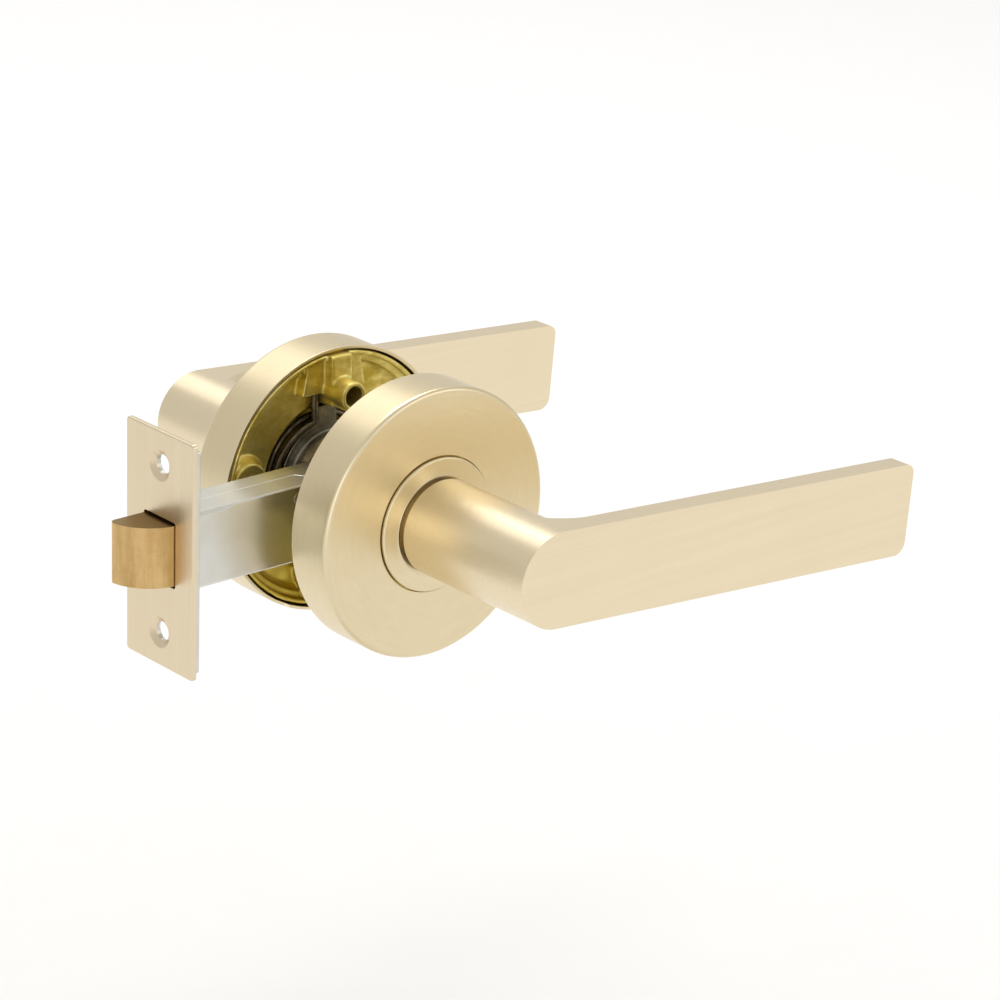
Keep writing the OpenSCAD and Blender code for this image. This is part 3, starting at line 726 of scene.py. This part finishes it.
FLOOR_DEPTH = 150.0 * MM
floor_shape = bmesh.new()
bmesh.ops.create_grid(floor_shape, x_segments=8, y_segments=8, size=6.0)
floor_mesh = bpy.data.meshes.new("floor")
floor_shape.to_mesh(floor_mesh)
floor_shape.free()
floor = bpy.data.objects.new("floor", floor_mesh)
floor.location.z = -FLOOR_DEPTH
bpy.context.scene.collection.objects.link(floor)
paper = Finish("pale_paper")
fibre = paper.noise(paper.place(), scale=40.0, detail=3.0)
paper.node("ShaderNodeOutputMaterial", None, {"Surface": paper.node(
    "ShaderNodeBsdfPrincipled", None, {
        "Base Color": paper.tint(fibre, (0.93, 0.93, 0.93), (0.91, 0.91, 0.91)),
        "Roughness": 0.9, "Specular IOR Level": 0.1})})
floor_mesh.materials.append(paper.material)

world = bpy.data.worlds.new("studio")
bpy.context.scene.world = world
world.use_nodes = True
world.node_tree.nodes["Background"].inputs["Color"].default_value = (1.0, 0.985, 0.96, 1.0)
world.node_tree.nodes["Background"].inputs["Strength"].default_value = 0.70


def soft_light(name, place, aim, size, power):
    """A soft box at a place in metres, turned to its aim, of a size in metres and power in watts."""
    data = bpy.data.lights.new(name, "AREA")
    data.shape = "RECTANGLE"
    data.size, data.size_y = size
    data.energy = power
    light = bpy.data.objects.new(name, data)
    light.location = place
    light.rotation_euler = (Vector(aim) - Vector(place)).to_track_quat("-Z", "Y").to_euler()
    bpy.context.scene.collection.objects.link(light)


soft_light("front_light", (0.9, -1.3, 0.7), (0.0, 0.0, 0.0), (1.4, 1.0), 3.5)
soft_light("top_light", (0.38, 0.55, 1.55), (0.35, 0.5, -0.15), (0.9, 0.9), 11.0)
soft_light("back_panel", (0.16, 0.92, 0.92), (0.0, 0.0, 0.0), (0.75, 0.6), 1.1)
soft_light("left_panel", (-1.0, -1.35, 0.3), (0.0, 0.0, 0.0), (1.3, 1.1), 4.0)

# The camera stands off the outside trim, towards the latch, and looks down on the spindle's middle.
AZIMUTH, ELEVATION, ROLL = math.radians(-41.592), math.radians(20.709), math.radians(2.034)
DISTANCE, ASIDE, RAISED = 0.927244, 0.031027, -0.000473
LENS = 141.49
back = Vector((math.sin(AZIMUTH) * math.cos(ELEVATION), -math.cos(AZIMUTH) * math.cos(ELEVATION),
               math.sin(ELEVATION)))
right = Vector((math.cos(AZIMUTH), math.sin(AZIMUTH), 0.0))
above = back.cross(right)
lens = bpy.data.cameras.new("camera")
lens.sensor_width = 36.0
lens.lens = LENS
lens.clip_start = 0.01
lens.clip_end = 20.0
camera = bpy.data.objects.new("camera", lens)
axes = Matrix((math.cos(ROLL) * right + math.sin(ROLL) * above,
               -math.sin(ROLL) * right + math.cos(ROLL) * above, back)).transposed()
camera.matrix_world = Matrix.Translation(back * DISTANCE + right * ASIDE + above * RAISED) @ (
    axes.to_4x4())
bpy.context.scene.collection.objects.link(camera)
bpy.context.scene.camera = camera
bpy.context.scene.view_settings.view_transform = "Standard"
